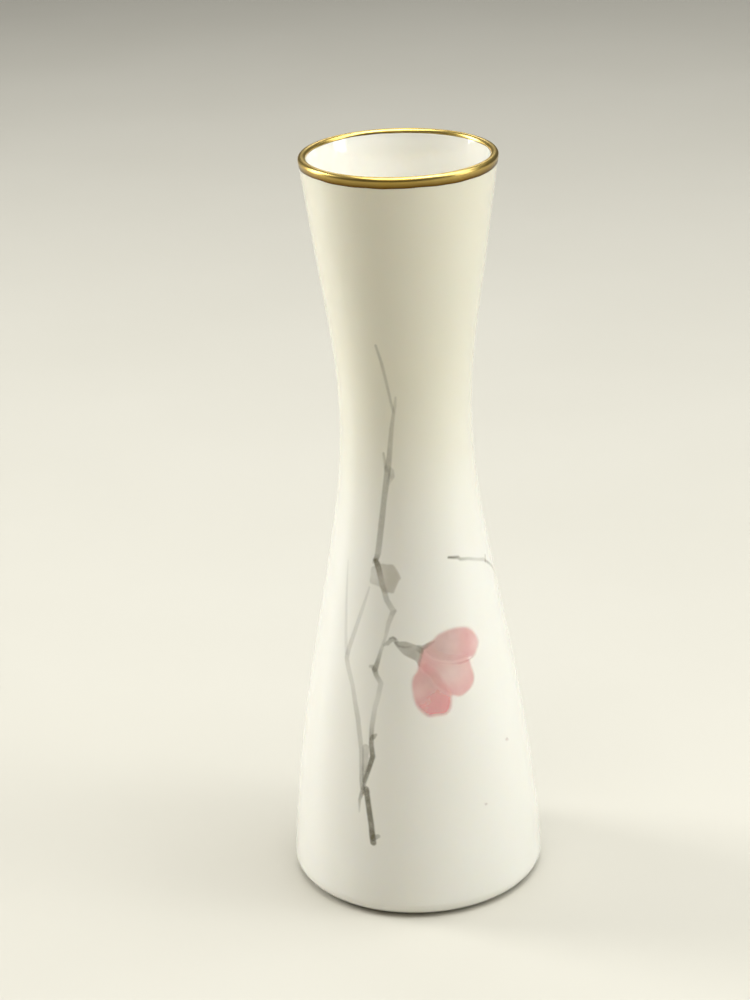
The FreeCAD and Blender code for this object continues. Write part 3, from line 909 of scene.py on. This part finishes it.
painted("flower_stalk_paint", grid, 0.001 * MM, STALK_PAINT, "painted_flower_stalk", "dark_stalk_paint",
        ink=1 - (1 - flooded) * (1 - strokes_ink(*grid, STALK)), grey=dab(*grid, (0.5, 54.0), 1.8))

# %% [markdown]
# The three petals and the leaf are washes. A wash is flooded in and left to settle, so it is darker in
# its pools, paler where the brush was dry, and soft at its rim. The petals overlap, and the one behind
# is laid thinner there. A hair line of the branch colour draws the edge of the two upper ones.

# %% Petals and leaf


def washed(name, outline, depth, material, node, slot, strength, pools, greys, soft, over=(), lines=()):
    """A rounded wash with pools of more or less colour, greyed parts, thinner overlaps and dark lines."""
    grid = wall_grid(outline, 1.3 * MM)
    shape = fade(patch_gap(*grid, outline), soft * MM)
    ink = np.full_like(grid[0], strength)
    for place, radius, change in pools:
        ink += change * dab(*grid, place, radius)
    for other, share in over:
        ink *= 1 - share * fade(patch_gap(*grid, other), soft * MM)
    grey = np.zeros_like(grid[0])
    for place, radius, change in greys:
        grey += change * dab(*grid, place, radius)
    painted(name, grid, depth * MM, material, node, slot, ink=shape * np.clip(ink, 0, 0.9),
            grey=np.clip(grey, 0, 1), line=strokes_ink(*grid, lines, 0.16 * MM))


UPPER = ((6.5, 56), (12.5, 57.5), (17, 58.5), (23.5, 59), (30, 59), (36.5, 58.5), (41.5, 57), (44, 55),
         (41.5, 53.5), (38.5, 52.5), (34.5, 52.5), (24, 52.5), (18.5, 53), (13.5, 53.5), (9, 54.5))
MIDDLE = ((3, 53), (4, 54), (6, 55.5), (10, 56), (17, 54.5), (24.5, 53.5), (34, 52.5), (36, 50.5),
          (37, 48.5), (35, 47), (31, 46), (26.5, 45.5), (22, 46), (18.5, 46.5), (12.5, 48.5), (9, 50.5),
          (5.5, 51.5))
LOWER = ((2, 51.5), (4.5, 53), (9, 52.5), (13.5, 51), (18, 48.5), (21, 46.5), (21, 45), (20, 43.5),
         (17, 42.5), (12, 42.5), (7.5, 42.5), (4, 43.5), (1, 45), (-0.5, 47), (-1, 49), (0, 50.5))
LEAF = ((-29, 70), (-28.5, 71.5), (-25, 72), (-21, 72.5), (-17, 72.5), (-12.5, 72.5), (-9.5, 71.5),
        (-7, 70), (-8, 69.5), (-10.5, 68), (-12, 67), (-15, 67), (-18.5, 67), (-22.5, 68), (-29, 68.5))

washed("upper_petal_paint", UPPER, 0.003, PINK_PAINT, "painted_upper_petal", "pink_petal_paint", 0.54,
       [((33.4, 55.4), 2.2, 0.02), ((25.4, 55.7), 1.8, -0.08), ((42.0, 54.8), 1.6, -0.14),
        ((12.0, 56.0), 2.4, 0.0)],
       [((15.0, 56.2), 3.6, 0.6), ((27.0, 58.8), 3.0, 0.4), ((21.0, 53.6), 3.0, 0.4)], 0.5,
       lines=[[(43.6, 54.4, 0.2, 0.16), (40.2, 52.9, 0.25, 0.3), (37.7, 52.4, 0.3, 0.4),
               (34.5, 52.1, 0.3, 0.42), (29.1, 52.0, 0.28, 0.3), (24.2, 52.2, 0.26, 0.24),
               (18.0, 52.9, 0.25, 0.1)]])
washed("middle_petal_paint", MIDDLE, 0.005, PINK_PAINT, "painted_middle_petal", "pink_petal_paint", 0.52,
       [((23.4, 50.3), 2.4, -0.14), ((29.4, 48.0), 1.8, -0.02), ((33.6, 50.4), 1.6, -0.06)],
       [((23.4, 50.3), 2.4, 0.35), ((13.0, 50.2), 1.8, 0.4), ((20.0, 54.0), 3.2, 0.3)], 0.42,
       over=[(UPPER, 0.85)],
       lines=[[(34.6, 51.6, 0.22, 0.14), (36.5, 49.9, 0.28, 0.22), (36.7, 48.2, 0.28, 0.24),
               (34.3, 46.9, 0.25, 0.12)],
              [(12.6, 48.6, 0.24, 0.16), (15.5, 47.4, 0.26, 0.26), (19.5, 46.3, 0.26, 0.26),
               (22.8, 45.8, 0.22, 0.2), (26.4, 45.6, 0.2, 0.1)]])
washed("lower_petal_paint", LOWER, 0.007, PINK_PAINT, "painted_lower_petal", "pink_petal_paint", 0.58,
       [((13.8, 45.6), 2.6, 0.04), ((1.6, 47.4), 2.2, -0.12), ((18.4, 44.2), 1.4, 0.04)],
       [((12.0, 50.0), 2.6, 0.75), ((5.0, 48.4), 3.0, 0.12)], 0.5,
       over=[(MIDDLE, 0.62)])
washed("leaf_paint", LEAF, 0.005, LEAF_PAINT, "painted_leaf", "taupe_leaf_paint", 0.37,
       [((-26.4, 70.1), 2.0, -0.17), ((-12.0, 69.8), 1.8, 0.06), ((-17.0, 67.8), 1.4, 0.04)],
       [((-26.4, 70.1), 1.8, 0.8)], 0.26)

# %% [markdown]
# Two dots of pink fell from the brush to the right of the branch.

# %% Flecks
FLECKS = [[(53.6, 33.1, 0.3, 0.18), (54.8, 33.0, 0.7, 0.26), (56.0, 32.7, 0.3, 0.18)],
          [(34.3, 22.3, 0.2, 0.16), (35.1, 22.1, 0.5, 0.26), (35.9, 22.0, 0.2, 0.16)]]
grid = wall_grid([p for stroke in FLECKS for p in stroke], 0.6 * MM)
painted("fleck_paint", grid, 0.010 * MM, PINK_PAINT, "painted_flecks", "pink_petal_paint",
        ink=strokes_ink(*grid, FLECKS), grey=0.3 * np.ones_like(grid[0]))
